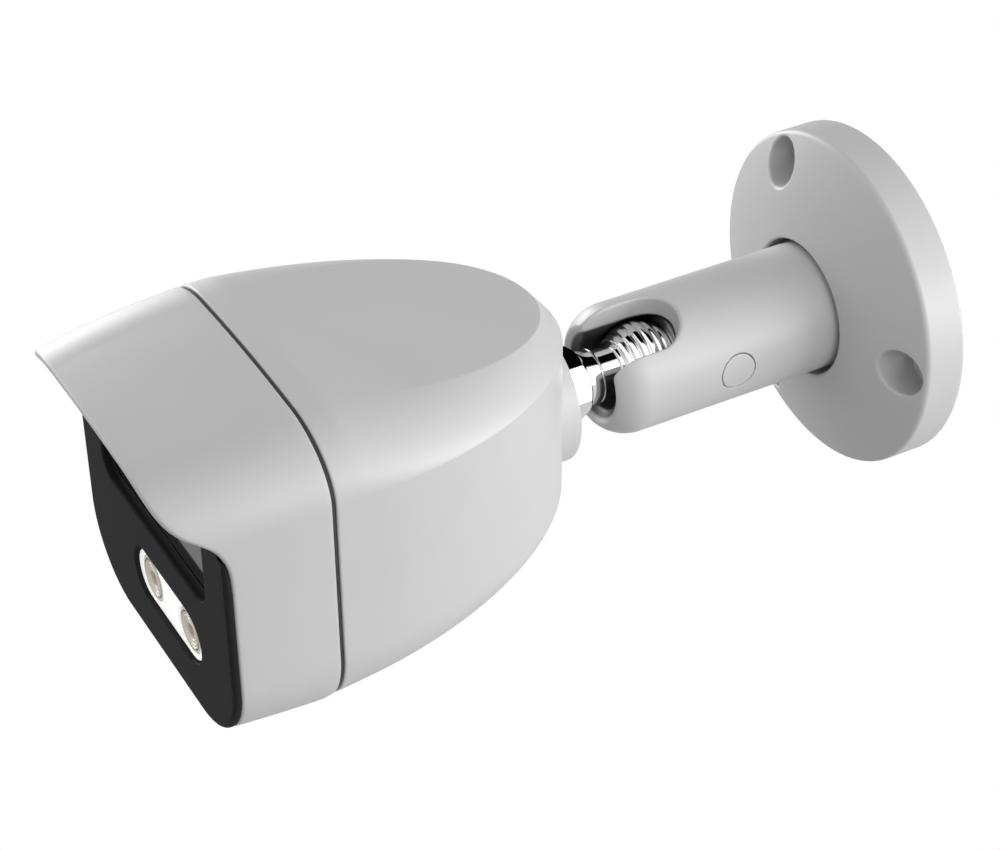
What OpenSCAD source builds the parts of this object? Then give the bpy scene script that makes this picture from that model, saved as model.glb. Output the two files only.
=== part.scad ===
// Bullet security camera on a ball-jointed wall arm.
//
// Frame: the origin is the centre of the wall plate's back face, and +Z is up.
// The wall is the plane Y = 0.  The arm and the camera lie along -Y, so the
// camera looks along -Y.  Every piece is drawn in its assembled place.

/* [Wall plate] */
// Radius of the round wall plate
plate_r = 35; // [35:0.5:42]
// Height of the plate's straight rim
plate_rim = 8.5; // [7:0.5:9]
// Height of the dome where the arm enters it
plate_h = 15; // [14:0.5:16]
// Radius of the circle of screw holes
hole_circle_r = 29; // [28:0.5:29.5]
// Clearance hole for a wall screw
wall_screw_d = 4.8; // [4:0.1:5.5]
// Counterbore for the screw head
screw_head_d = 9.6; // [9:0.2:10]

/* [Arm] */
// Outer radius of the arm
arm_r = 13.2; // [13:0.1:13.4]
// Distance of the arm's front end from the wall
arm_end = 65.5; // [65:0.5:66]
// Width of the slot that the stud swings into
slot_w = 12.8; // [12.6:0.1:13]
// Angle of the slot from straight up, toward +X
slot_turn = 18; // [0:1:30]
// Distance of the ball's centre from the wall
ball_y = 53; // [52.8:0.1:53.2]
// Radius of the ball
ball_r = 8; // [7.9:0.05:8]
// Radius of the stud's neck
neck_r = 5; // [4.6:0.1:5.1]

/* [Housing] */
// Distance of the seam between the housings from the wall
seam_y = 135.4; // [133:0.2:137]
// Distance of the front housing's open end from the wall
front_y = 154.75; // [154:0.25:156]
// Distance of the visor's tip from the wall
tip_y = 166.8; // [163:0.2:168]
// Distance of the housing's rounded rear end from the wall
rear_y = 73.7; // [73.5:0.1:74]
// Distance of the widest section from the wall
wide_y = 128; // [126:1:129]
// Half width at the widest section
wide_x = 34.9; // [34.5:0.1:36]
// Half width at the front
front_x = 33.4; // [33:0.1:34]
// Wall thickness of the housings
wall = 2.2; // [1.8:0.1:2.4]
// Radius of the round boss at the rear
boss_r = 14; // [13:0.5:14.5]

/* [Front] */
// Half width of the lens window's opening
window_x = 23.6; // [22:0.2:24]
// Half width of the lamp opening
lamp_x = 15.1; // [14.5:0.1:16]
// How far the lamp opening's middle lies to the side, toward +X
lamp_side = 3.6; // [0:0.1:4]
// Distance of each lamp from the opening's middle
lamp_pitch = 8.5; // [8:0.1:9]
// Height of the lamps' centre, below the camera's axis
lamp_drop = 16.9; // [16.5:0.1:17.5]
// Radius of a lamp's reflector
lamp_r = 4.9; // [4.6:0.1:4.9]

/* [Hidden] */

$fn = 64;
shell = [0.80, 0.80, 0.81];
black = [0.12, 0.12, 0.13];
steel = [0.72, 0.72, 0.74];
board = [0.05, 0.30, 0.16];

// ---- helpers -------------------------------------------------------------

// A child drawn along +Z, turned so that it runs toward the front, -Y
module forward() rotate([90, 0, 0]) children();

// A ring about the Y axis, between two distances from the wall
module ring_y(r, hole, near, far)
    translate([0, -near, 0]) forward() difference() {
        cylinder(r = r, h = far - near);
        translate([0, 0, -1]) cylinder(r = hole, h = far - near + 2);
    }

// A rod about the Y axis, between two distances from the wall
module rod_y(r, near, far)
    translate([0, -near, 0]) forward() cylinder(r = r, h = far - near);

// A hexagon socket in a screw head, between two distances from the wall
module hex_socket(r, near, far)
    translate([0, -near, 0]) forward() cylinder(r = r, h = far - near, $fn = 6);

// A plate across the Y axis with rounded corners, given its half sizes
module slab_y(hx, hz, r, near, far)
    translate([0, -near, 0]) forward() linear_extrude(far - near)
        rounded_box(hx, hz, r);

module rounded_box(hx, hz, r) {
    square([2 * hx, 2 * (hz - r)], center = true);
    square([2 * (hx - r), 2 * hz], center = true);
    for (sx = [-1, 1], sz = [-1, 1])
        translate([sx * (hx - r), sz * (hz - r)]) circle(r);
}

// Children repeated at the corners of a rectangle in the XZ plane
module at_corners(hx, hz)
    for (sx = [-1, 1], sz = [-1, 1]) translate([sx * hx, 0, sz * hz]) children();

// ---- the housing's shape -------------------------------------------------
// In plan the housing is nearly straight in front of wide_y and an ellipse
// behind it.  Its top and bottom are nearly flat and close in on each other
// toward the rear.  The top edge is a wide fillet that turns into a narrow
// chamfer at the rear; the bottom edge is a fillet that shrinks to the rear.

top_z = 31.5;         // crown of the top at its highest
top_fall = 8;         // how far the top falls from its crown to the rear
top_flat_y = 130;     // the top falls behind this, and gently in front of it
front_fall = 1.2;     // how far it falls to front_y
crown = 2.5;          // how far the top's edges lie below its middle
bottom_z = -32.4;     // bottom in front of bottom_flat_y
bottom_rise = 16.9;   // how far it rises to the rear
bottom_flat_y = 137.6;
edge_in = [17, 3.6];  // width of the top edge's fillet: seam, rear
edge_drop = [11.7, 4.5];
foot_r = [16.4, 3];   // radius of the bottom edge's fillet: seam, rear

function part_of(a, b, v) = min(1, max(0, (v - a) / (b - a)));
function mix(pair, t) = pair[0] + (pair[1] - pair[0]) * t;

function top_at(x, y) = top_z
    - top_fall * part_of(top_flat_y, rear_y, y)
    - front_fall * pow(max(0, y - top_flat_y) / (front_y - top_flat_y), 2)
    - crown * part_of(rear_y, front_y, y) * pow(x / wide_x, 2);
function bottom_at(y) = bottom_z + bottom_rise * part_of(bottom_flat_y, rear_y, y);

// Half width in front of the widest section
function flank(y) = wide_x - (wide_x - front_x)
    * pow((y - wide_y) / (front_y - wide_y), 2);

EDGE_STEPS = 7;
FOOT_STEPS = 6;
TOP_STEPS = 5;

// One half of a section, from the middle of the top to the middle of the
// bottom.  The outline point is [x, y], its outward direction n, and e is how
// far the section lies inside the outer skin.
function half_section(x, y, n, e) =
    let (t = part_of(seam_y, rear_y, y),
         b = mix(edge_in, t) - e / 2,
         h = mix(edge_drop, t) - e / 2,
         r = max(0.8, mix(foot_r, t) - e),
         px = x - e * n[0],
         py = y + e * n[1],
         ax = max(0.02, px - b * n[0]),
         ay = py + b * n[1],
         za = top_at(ax, ay) - e)
    [
        for (i = [0 : TOP_STEPS - 1]) let (fx = ax * i / TOP_STEPS)
            [fx, ay, top_at(fx, ay) - e],
        for (i = [0 : EDGE_STEPS]) let (a = 90 * i / EDGE_STEPS,
            f = mix([sin(a), a / 90], t), d = mix([1 - cos(a), a / 90], t))
            [px - b * (1 - f) * n[0], py + b * (1 - f) * n[1], za - h * d],
        for (i = [0 : FOOT_STEPS]) let (a = 90 * i / FOOT_STEPS,
            s = r * (1 - cos(a)), qy = py + s * n[1])
            [max(0.01, px - s * n[0]), qy, bottom_at(qy) + e + r * (1 - sin(a))],
        let (qy = py + r * n[1]) [0, qy, bottom_at(qy) + e]
    ];

// The whole section, as one closed loop
function loop(half) = concat(half,
    [for (i = [len(half) - 2 : -1 : 1]) [-half[i][0], half[i][1], half[i][2]]]);

// The sections of the straight part, between two distances from the wall
function front_loops(y0, y1, steps, e) =
    [for (i = [0 : steps]) let (y = y0 + (y1 - y0) * i / steps)
        loop(half_section(flank(y), y, [1, 0], e))];

// The sections of the rounded part: the outline is a quarter of an ellipse
REAR_LAST = 86;
function rear_loops(steps, e) =
    [for (i = [1 : steps]) let (a = REAR_LAST * i / steps,
        len_y = wide_y - rear_y,
        x = wide_x * cos(a), y = wide_y - len_y * sin(a),
        nx = cos(a) / wide_x, ny = sin(a) / len_y, m = norm([nx, ny]))
        loop(half_section(x, y, [nx / m, ny / m], e))];

// The loops' points, with the distance from the wall turned to -Y
function flat_points(loops) = [for (l = loops) for (p = l) [p[0], -p[1], p[2]]];

// The triangles between loops that start at point k0, turned inside out or not
function skin(k0, n, m, flip) =
    [for (i = [0 : n - 2]) for (j = [0 : m - 1])
        let (a = k0 + i * m + j, b = k0 + i * m + (j + 1) % m)
        each flip ? [[a, b + m, a + m], [a, b, b + m]] : [[a, a + m, b + m], [a, b + m, b]]];

// The flat ring between two loops that start at points a0 and b0
function rim(a0, b0, m) = [for (j = [0 : m - 1]) let (k = (j + 1) % m)
    each [[a0 + j, b0 + k, b0 + j], [a0 + j, a0 + k, b0 + k]]];

// The triangles of a polygon, from its first point
function fan(p, flip) = [for (i = [1 : len(p) - 2])
    flip ? [p[0], p[i], p[i + 1]] : [p[0], p[i + 1], p[i]]];

// The cap on the narrow loop that starts at a0: strips from side to side
function cap(a0, m, flip) =
    let (top = TOP_STEPS + 1, low = m / 2 - 2)
    concat(
        fan([for (i = [0 : 2 * top]) a0 + (i == 0 ? top : (m - top - 1 + i) % m)], flip),
        [for (i = [top : low - 1])
            each fan([a0 + i, a0 + i + 1, a0 + m - i - 1, a0 + m - i], flip)],
        fan([for (i = [0 : 4]) a0 + low + i], flip));

// A shell between two lists of loops that run toward the wall.  It is open at
// the first loops, and open or capped at the last ones.
module shell_of(outer, inner, closed) {
    m = len(outer[0]);
    in0 = len(outer) * m;
    outer_end = in0 - m;
    inner_end = in0 + (len(inner) - 1) * m;
    rear = closed
        ? concat(cap(outer_end, m, false), cap(inner_end, m, true))
        : rim(inner_end, outer_end, m);
    polyhedron(concat(flat_points(outer), flat_points(inner)),
        concat(skin(0, len(outer), m, false), skin(in0, len(inner), m, true),
            rim(0, in0, m), rear));
}

// The outline of the front housing's section in the XZ plane
function outline_at(y, e) =
    [for (p = loop(half_section(flank(y), y, [1, 0], e))) [p[0], p[2]]];
module section_y(e, near, far)
    translate([0, -near, 0]) forward() linear_extrude(far - near)
        polygon(outline_at((near + far) / 2, e));

// The visor's lower edge, seen from the side: a smooth S from the face plate
// up to the tip, as [distance from the wall, height]
VISOR_STEPS = 14;
visor_ends = [[front_y, 8], [front_y, 24], [tip_y, 15], [tip_y, 33]];
function visor_edge(t) = pow(1 - t, 3) * visor_ends[0]
    + 3 * pow(1 - t, 2) * t * visor_ends[1]
    + 3 * (1 - t) * t * t * visor_ends[2] + t * t * t * visor_ends[3];
visor_curve = [for (i = [0 : VISOR_STEPS]) visor_edge(i / VISOR_STEPS)];

// A block across the whole housing, drawn in the YZ plane
module across(points)
    rotate([90, 0, -90]) translate([0, 0, -60]) linear_extrude(120)
        polygon(points);
// The space below the visor, or a gap inside it
module below_visor(gap = 0)
    across(concat([for (p = visor_curve) p + [gap, -gap]],
        [[tip_y + 5, 33], [tip_y + 5, -60], [front_y, -60]],
        gap > 0 ? [[front_y, visor_ends[0][1] - gap]] : []));

// ---- wall mount ----------------------------------------------------------

collar_r = 14.3;       // opening that the arm turns in
collar_floor = 9;      // distance of the opening's floor from the wall
hub_floor = 5.5;       // distance of the swivel screw's seat from the wall
hub_r = 8;
pocket = [18, 31];     // ring pocket that lightens the back
pocket_h = 4.5;
hole_turns = [-30, 90, 210];
hole_boss_r = 7.5;     // solid ring round each hole, inside the pocket
head_seat = 4;         // distance of the screw heads' seat from the wall
swivel_r = 3;          // M6 screw that the arm turns on
swivel_head_r = 5.5;
swivel_y = [1.2, 22];  // ends of the swivel screw
washer_r = 7.4;
washer_t = 0.8;
slack = 0.3;           // clearance round a screw or a moving part
fit_gap = 0.05;        // clearance of a piece that slides or screws into the arm
DOME_STEPS = 10;

// Height of the domed face
function dome(r) = plate_h - (plate_h - plate_rim)
    * (pow(r, 2) - pow(collar_r, 2)) / (pow(plate_r, 2) - pow(collar_r, 2));

module at_holes()
    for (a = hole_turns) rotate(-a) translate([0, hole_circle_r, 0]) children();

module wall_plate() color(shell) forward() difference() {
    rotate_extrude($fn = 128) polygon(concat(
        [[0, 0], [plate_r, 0]],
        [for (i = [DOME_STEPS : -1 : 0])
            let (r = collar_r + (plate_r - collar_r) * i / DOME_STEPS) [r, dome(r)]],
        [[collar_r, collar_floor], [0, collar_floor]]));
    difference() {
        translate([0, 0, -1]) cylinder(r = pocket[1], h = pocket_h + 1);
        translate([0, 0, -2]) cylinder(r = pocket[0], h = pocket_h + 3);
        at_holes() translate([0, 0, -2]) cylinder(r = hole_boss_r, h = pocket_h + 3);
    }
    translate([0, 0, -1]) cylinder(r = hub_r, h = hub_floor + 1);
    translate([0, 0, -1]) cylinder(r = swivel_r + slack, h = collar_floor + 2);
    at_holes() {
        translate([0, 0, -1]) cylinder(d = wall_screw_d, h = plate_h);
        translate([0, 0, head_seat]) cylinder(d = screw_head_d, h = plate_h);
    }
}

module swivel_screw() color(steel) difference() {
    union() {
        rod_y(swivel_head_r, swivel_y[0], hub_floor - washer_t);
        rod_y(swivel_r, swivel_y[0], swivel_y[1]);
    }
    hex_socket(2.3, swivel_y[0] - 1, 3.4);
}

module swivel_washer() color(steel)
    ring_y(washer_r, swivel_r + slack, hub_floor - washer_t, hub_floor);

// ---- arm -----------------------------------------------------------------

root_y = collar_floor + slack;
root_round = 1.2;
nose_round = 8;        // rounding of the arm's front end
bore_r = ball_r + slack;
mouth_r = 7.2;         // opening in front of the ball, which keeps it in
mouth_bevel_y = 62;    // where the opening starts to widen toward the nose
mouth_bevel = 1.5;     // how fast its radius grows
bevel_h = arm_end + 1 - mouth_bevel_y;
slot_end_y = ball_y + 0.4;
insert_end = 25;
lock_y = 37.7;         // the lock screw's distance from the wall
lock_r = 3;            // M6 set screw
plug_r = 3.9;
plug_floor = 11;       // distance of the plug's seat from the arm's axis
plug_gap = 0.15;
plunger_y = [lock_y - 5, ball_y - 5.5];   // clear of the stud's neck when tilted
point_h = 2.5;         // length of the lock screw's cone point

// The arm's outer profile, as [radius, distance from the wall]
function arc(c, r, a0, a1, n) =
    [for (i = [0 : n]) let (a = a0 + (a1 - a0) * i / n) c + r * [cos(a), sin(a)]];
arm_profile = concat([[0, root_y]],
    arc([arm_r - root_round, root_y + root_round], root_round, -90, 0, 4),
    arc([arm_r - nose_round, arm_end - nose_round], nose_round, 0, 90, 12),
    [[0, arm_end]]);

module slot() rotate([0, slot_turn, 0]) {
    translate([0, -slot_end_y, 0]) cylinder(d = slot_w, h = arm_r + 2);
    translate([-slot_w / 2, -arm_end - 1, 0])
        cube([slot_w, arm_end + 1 - slot_end_y, arm_r + 2]);
}

module arm() color(shell) difference() {
    forward() rotate_extrude($fn = 96) polygon(arm_profile);
    rod_y(bore_r, root_y - 1, ball_y);
    translate([0, -ball_y, 0]) sphere(bore_r);
    rod_y(mouth_r, ball_y, arm_end + 1);
    translate([0, -mouth_bevel_y, 0]) forward()
        cylinder(r1 = mouth_r, r2 = mouth_r + mouth_bevel * bevel_h, h = bevel_h);
    slot();
    translate([0, -lock_y, 0]) rotate([0, 90, 0]) {
        cylinder(r = lock_r, h = arm_r + 2);
        translate([0, 0, plug_floor]) cylinder(r = plug_r, h = arm_r);
    }
}

module arm_insert() color(steel) ring_y(bore_r - fit_gap, swivel_r, root_y, insert_end);

module clamp_plunger() color(steel) difference() {
    rod_y(bore_r - fit_gap, plunger_y[0], plunger_y[1]);
    translate([0, -ball_y, 0]) sphere(bore_r);
    translate([bore_r + 0.7, -lock_y, 0]) rotate([0, -90, 0])
        cylinder(r1 = lock_r + 0.7, r2 = 0, h = lock_r + 0.7);
}

module lock_screw() color(steel) translate([0, -lock_y, 0]) rotate([0, 90, 0])
    difference() {
        union() {
            translate([0, 0, bore_r])
                cylinder(r = lock_r - fit_gap, h = plug_floor - bore_r - 0.2);
            translate([0, 0, bore_r - point_h])
                cylinder(r1 = 0.5, r2 = lock_r - fit_gap, h = point_h);
        }
        translate([0, 0, plug_floor - 2]) cylinder(r = 1.7, h = 2, $fn = 6);
    }

module lock_screw_plug() color(shell) intersection() {
    translate([plug_floor, -lock_y, 0]) rotate([0, 90, 0])
        cylinder(r = plug_r - plug_gap, h = arm_r);
    rod_y(arm_r, lock_y - 6, lock_y + 6);
}

// ---- ball stud -----------------------------------------------------------

flange_r = 5.6;
flange_y = [63.4, 66.6];
flare = 0.8;           // length of the cone behind the flange
nut_y = 73.3;          // distance of the nut's far face
stud_r = 4;            // M8 thread
stud_end = 86;
boss_y = nut_y + 0.3;
nut_af = 13;
nut_bevel = 1.2;       // how fast the cone that cuts the nut's corners grows
nut_h = nut_y - flange_y[1];

module ball_stud() color([0.85, 0.85, 0.87]) union() {
    translate([0, -ball_y, 0]) sphere(ball_r);
    rod_y(neck_r, ball_y, flange_y[1]);
    translate([0, -flange_y[0] + flare, 0]) forward()
        cylinder(r1 = neck_r, r2 = flange_r, h = flare);
    rod_y(flange_r, flange_y[0], flange_y[1]);
    rod_y(stud_r, flange_y[1], stud_end);
}

module stud_nut() color([0.8, 0.8, 0.82]) translate([0, -flange_y[1], 0]) forward()
    difference() {
        intersection() {
            cylinder(d = nut_af / cos(30), h = nut_h, $fn = 6);
            cylinder(r1 = nut_af / 2 - 0.1, r2 = nut_af / 2 - 0.1 + nut_bevel * nut_h, h = nut_h);
        }
        translate([0, 0, -1]) cylinder(r = stud_r, h = nut_y);
    }

// ---- housings ------------------------------------------------------------

seal_t = 0.8;
rear_open_y = seam_y - seal_t / 2;
front_back_y = seam_y + seal_t / 2;
post_at = [24, 18, -22];   // screw posts: half spacing, upper and lower height
post_r = 4;
case_screw_r = 1.5;
post_rib = [8.2, 6.6];     // reach of the ribs to the side wall: upper, lower
post_rib_t = 2.4;
rear_post_y = 118;
front_post_y = 141;
boss_inner_y = 84;
o_ring_r = 6.2;
o_ring_t = 1.8;
bush_y = 100;              // the cable grommet's distance from the wall
bush_r = 4;
bush_flange = [6, 1.4];    // radius and thickness of its flange
bush_bore_r = 2.4;
bottom_slope = atan(bottom_rise / (bottom_flat_y - rear_y));

module at_posts() for (sx = [-1, 1], z = [post_at[1], post_at[2]])
    translate([sx * post_at[0], 0, z]) children();

// The posts, each with a rib that ties it to the side wall
module posts(near, far) for (sx = [-1, 1], k = [0, 1])
    translate([sx * post_at[0], 0, post_at[k + 1]]) {
        rod_y(post_r, near, far);
        translate([sx > 0 ? 0 : -post_rib[k], -far, -post_rib_t / 2])
            cube([post_rib[k], far - near, post_rib_t]);
    }

module at_bush() translate([0, -bush_y, bottom_at(bush_y)])
    rotate([bottom_slope, 0, 0]) children();

function rear_skin(e) = concat(front_loops(rear_open_y, wide_y, 2, e), rear_loops(16, e));

module rear_housing() color(shell) difference() {
    union() {
        shell_of(rear_skin(0), rear_skin(wall), true);
        rod_y(boss_r, boss_y, boss_inner_y);
        posts(rear_post_y, rear_open_y);
    }
    rod_y(stud_r + 0.1, boss_y - 1, boss_inner_y + 10);
    rod_y(o_ring_r, boss_y - 1, boss_y + o_ring_t);
    at_posts() rod_y(case_screw_r, rear_post_y + 2, rear_open_y + 1);
    at_bush() translate([0, 0, -3]) cylinder(r = bush_r, h = 12);
}

module stud_o_ring() color(black)
    ring_y(o_ring_r, stud_r + slack, boss_y, boss_y + o_ring_t);

module cable_grommet() color(black) at_bush() difference() {
    union() {
        translate([0, 0, -bush_flange[1]]) cylinder(r = bush_flange[0], h = bush_flange[1]);
        translate([0, 0, -bush_flange[1]]) cylinder(r = bush_r, h = wall + 3.4);
    }
    translate([0, 0, -3]) cylinder(r = bush_bore_r, h = 12);
}

module housing_seal() color([0.25, 0.25, 0.26]) difference() {
    section_y(0.4, rear_open_y, front_back_y);
    section_y(wall, rear_open_y - 1, front_back_y + 1);
}

bracket_at = [26.5, 4];    // the bracket's screws
bracket_y = 139.2;
bracket_t = 1.5;
face_at = [27.5, 12, -8];  // the face plate's screws: half spacing and heights
face_screw_r = 1.25;
tab_y = [bracket_y + bracket_t, bracket_y + bracket_t + 4];
tab_x = [24, 32.5];        // from the tabs' inner edge to inside the wall
tab_z = [-0.5, 8.5];
lug_y = [144.5, 148];      // the face screws' lugs
lug_x = [24.7, 32.5];
lug_h = 7;

// A block on each side, from its inner edge to inside the housing's wall
module side_blocks(x, y, z0, z1) for (sx = [-1, 1])
    translate([sx > 0 ? x[0] : -x[1], -y[1], z0]) cube([x[1] - x[0], y[1] - y[0], z1 - z0]);

module at_face_screws() for (sx = [-1, 1], z = [face_at[1], face_at[2]])
    translate([sx * face_at[0], 0, z]) children();

module at_bracket_screws() for (sx = [-1, 1])
    translate([sx * bracket_at[0], 0, bracket_at[1]]) children();

module front_housing() color(shell) difference() {
    union() {
        shell_of(front_loops(tip_y, front_back_y, 8, 0),
            front_loops(tip_y, front_back_y, 8, wall), false);
        posts(front_back_y, front_post_y);
        side_blocks(tab_x, tab_y, tab_z[0], tab_z[1]);
        for (z = [face_at[1], face_at[2]])
            side_blocks(lug_x, lug_y, z - lug_h / 2, z + lug_h / 2);
    }
    below_visor();
    at_posts() rod_y(case_screw_r + 0.2, front_back_y - 1, front_post_y + 1);
    at_bracket_screws() rod_y(face_screw_r, tab_y[0] - 1, tab_y[1] + 1);
    at_face_screws() rod_y(face_screw_r + 0.25, lug_y[0] - 1, lug_y[1] + 1);
}

// A screw that stands on its head
module screw(head_r, head_h, shaft_r, length) difference() {
    union() {
        cylinder(r = head_r, h = head_h);
        translate([0, 0, head_h]) cylinder(r = shaft_r, h = length);
    }
    translate([0, 0, -0.01]) cylinder(r = shaft_r, h = head_h / 2, $fn = 6);
}

// Driven toward the wall, from the open front
module housing_screws() color(steel) at_posts() translate([0, -front_post_y - 2.2, 0])
    rotate([-90, 0, 0]) screw(2.9, 2.2, case_screw_r, 19.5);

// ---- face plate and window -----------------------------------------------

face_front = front_y + 1.5;
face_back = 151.5;
window_z = [8.7, 12.3];    // middle and half height of the window's opening
window_round = 4.5;
ledge_in = 0.8;            // width of the step round the window
step_y = front_y - 0.1;    // its depth
face_gap = 0.25;           // between the face plate and the housing
glass_y = step_y - 0.45;
glass_t = 1.5;
lamp_half_h = 5.7;

module window_area(grow, near, far) translate([0, 0, window_z[0]])
    slab_y(window_x + grow, window_z[1] + grow, window_round + grow, near, far);

module lamp_area(grow, near, far) translate([lamp_side, 0, -lamp_drop])
    slab_y(lamp_x + grow, lamp_half_h + grow, lamp_half_h + grow - 0.01, near, far);

module face_plate() color(black) difference() {
    union() {
        section_y(wall + face_gap, face_back, face_front);
        intersection() {
            section_y(0, front_y, face_front);
            below_visor(face_gap);
        }
        at_face_screws() rod_y(2.6, lug_y[1], face_back + 1);
    }
    window_area(0, step_y, face_front + 1);
    window_area(-ledge_in, face_back - 1, face_front + 1);
    window_area(-face_gap, face_back - 1, glass_y);
    lamp_area(0, face_back - 1, face_front + 1);
    at_face_screws() rod_y(face_screw_r, lug_y[1] - 1, face_back + 1.5);
}

module face_screws() color(steel) at_face_screws() translate([0, -lug_y[0] + 1.6, 0])
    forward() screw(2.4, 1.6, face_screw_r, 6.5);

module window_glass() color([0.03, 0.03, 0.04])
    window_area(-0.4, glass_y - glass_t, glass_y);

module window_seal() color(black) difference() {
    window_area(-0.4, face_back, glass_y - glass_t);
    window_area(-2.5, face_back - 1, glass_y);
}

// ---- lamps ---------------------------------------------------------------

panel_y = face_front - 0.7;
panel_inset = 0.4;         // gap between the panel and the opening
panel_flange = 0.8;
panel_lip = 1.4;           // reach of the flange past the opening
lamp_board_t = 1.6;
lamp_board_y = face_back - panel_flange - lamp_board_t;

module at_lamps() for (sx = [-1, 1])
    translate([lamp_side + sx * lamp_pitch, 0, -lamp_drop]) children();

module lamp_panel() color([0.95, 0.95, 0.93]) difference() {
    union() {
        lamp_area(-panel_inset, face_back - panel_flange, panel_y);
        lamp_area(panel_lip, face_back - panel_flange, face_back);
    }
    at_lamps() rod_y(lamp_r, face_back - 3, panel_y + 1);
}

cup_floor = face_back - panel_flange;
cup_rim = panel_y - 0.1;
dish_h = 0.8;              // depth of the reflector's dish
dish_r = [1.5, lamp_r - 0.9];
emitter_half = 1.6;        // half width of an emitter's body
emitter_h = 0.9;

module lamp_reflectors() color([0.92, 0.88, 0.78]) at_lamps() difference() {
    rod_y(lamp_r - 0.1, cup_floor, cup_rim);
    rod_y(emitter_half * sqrt(2) + 0.2, cup_floor - 1, cup_floor + emitter_h + 0.3);
    rod_y(dish_r[0], cup_floor, cup_rim);
    translate([0, dish_h - cup_rim, 0]) forward()
        cylinder(r1 = dish_r[0], r2 = dish_r[1], h = dish_h + 0.01);
}

module lamp_emitters() color([0.95, 0.85, 0.4]) at_lamps() {
    slab_y(emitter_half, emitter_half, 0.2, cup_floor, cup_floor + emitter_h);
    rod_y(dish_r[0] - 0.2, cup_floor + emitter_h - 0.1, cup_rim - dish_h);
}

module lamp_board() color([0.9, 0.9, 0.9])
    lamp_area(panel_lip, lamp_board_y, lamp_board_y + lamp_board_t);

// ---- lens and sensor -----------------------------------------------------

lens_z = window_z[0];
thread_r = 6;              // M12 lens thread
barrel_y = [134, 146, 150.9];   // ends of the thread and of the head
barrel_head_r = 7;
front_lens = [5.2, 147.5];      // radius and place of the glasses' flat faces
rear_lens = [4, 135];
holder_y = [126.6, 141];
holder_half = [13.8, 9];
filter_y = [130.2, 131.8];      // the filter's slot
filter_half = [9.8, 5];
filter_travel = 5.4;
filter_gap = 0.35;
sensor_y = 125;
board_z = 7.5;
board_half = [19.5, 15.5];
board_t = 1.6;
board_hole_r = 1.3;
post_grid = [16.5, 12.5];

module on_lens_axis() translate([0, 0, lens_z]) children();

module lens_barrel() color(black) on_lens_axis() difference() {
    union() {
        rod_y(thread_r, barrel_y[0], barrel_y[1]);
        rod_y(barrel_head_r, barrel_y[1], barrel_y[2]);
    }
    rod_y(rear_lens[0], barrel_y[0] - 1, barrel_y[2]);
    rod_y(front_lens[0], front_lens[1], barrel_y[2] + 1);
}

// A glass with one domed face, toward the front
module element(lens, t, bulge) color([0.55, 0.65, 0.75]) on_lens_axis()
    translate([0, -lens[1], 0]) forward() intersection() {
        cylinder(r = lens[0], h = t + bulge);
        translate([0, 0, t + bulge - dome_radius(lens[0], bulge)])
            sphere(dome_radius(lens[0], bulge));
    }
function dome_radius(r, bulge) = (r * r + bulge * bulge) / (2 * bulge);

module lens_front_glass() element(front_lens, 1.6, 1.2);
module lens_rear_glass() element(rear_lens, 1.4, 0.8);

module lens_lock_ring() color(steel) on_lens_axis()
    ring_y(7.8, thread_r, holder_y[1], holder_y[1] + 2.5);

module lens_holder() color([0.18, 0.18, 0.19]) on_lens_axis() difference() {
    slab_y(holder_half[0], holder_half[1], 1, holder_y[0], holder_y[1]);
    rod_y(thread_r, 133.5, holder_y[1] + 1);
    rod_y(4.2, holder_y[0] - 1, holder_y[1]);
    slab_y(filter_half[0] + filter_travel / 2 + 0.4, filter_half[1] + 0.4, 0.5,
        filter_y[0], filter_y[1]);
    slab_y(7, 6, 0.5, holder_y[0] - 1, holder_y[0] + 2.4);
}

// Two panes in one sliding frame
module ir_filter() color([0.55, 0.25, 0.3]) on_lens_axis()
    translate([-filter_travel / 2, 0, 0])
        slab_y(filter_half[0], filter_half[1], 0.4, filter_y[0] + filter_gap,
            filter_y[1] - filter_gap);

module image_sensor() color([0.15, 0.15, 0.2]) on_lens_axis()
    slab_y(5, 4.2, 0.2, sensor_y, sensor_y + 1.6);

module board_plate(near) translate([0, 0, board_z])
    slab_y(board_half[0], board_half[1], 2, near, near + board_t);
module at_board_posts() translate([0, 0, board_z]) at_corners(post_grid[0], post_grid[1])
    children();

module sensor_board() color(board) difference() {
    board_plate(sensor_y - board_t);
    at_board_posts() rod_y(board_hole_r, sensor_y - board_t - 1, sensor_y + 1);
}

module processor() color(black) translate([0, 0, board_z])
    slab_y(6, 6, 0.2, sensor_y - board_t - 1.1, sensor_y - board_t);

module main_bracket() color(steel) difference() {
    union() {
        translate([0, 0, board_z])
            slab_y(board_half[0], board_half[1], 2, bracket_y, tab_y[0]);
        translate([0, 0, bracket_at[1]]) slab_y(30, 4.4, 1, bracket_y, tab_y[0]);
    }
    on_lens_axis() slab_y(holder_half[0] + 0.3, holder_half[1] + 0.3, 1,
        bracket_y - 1, tab_y[1]);
    at_bracket_screws() rod_y(1.5, bracket_y - 1, tab_y[1]);
}

module bracket_screws() color(steel) at_bracket_screws()
    translate([0, -bracket_y + 1.6, 0]) forward() screw(2.5, 1.6, face_screw_r, 5);

power_y = 104;
board_post_r = 2.5;
module board_posts() color([0.8, 0.65, 0.35]) at_board_posts() {
    rod_y(board_post_r, sensor_y, bracket_y);
    rod_y(board_post_r, power_y + board_t, sensor_y - board_t);
    rod_y(board_hole_r, sensor_y - board_t - 0.01, sensor_y + 0.01);
}

module power_board() color(board) difference() {
    board_plate(power_y);
    at_board_posts() rod_y(board_hole_r, power_y - 1, power_y + board_t + 1);
}

module board_screws() color(steel) at_board_posts()
    translate([0, -power_y + 1.2, 0]) forward() screw(2.2, 1.2, board_hole_r, board_t);

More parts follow.
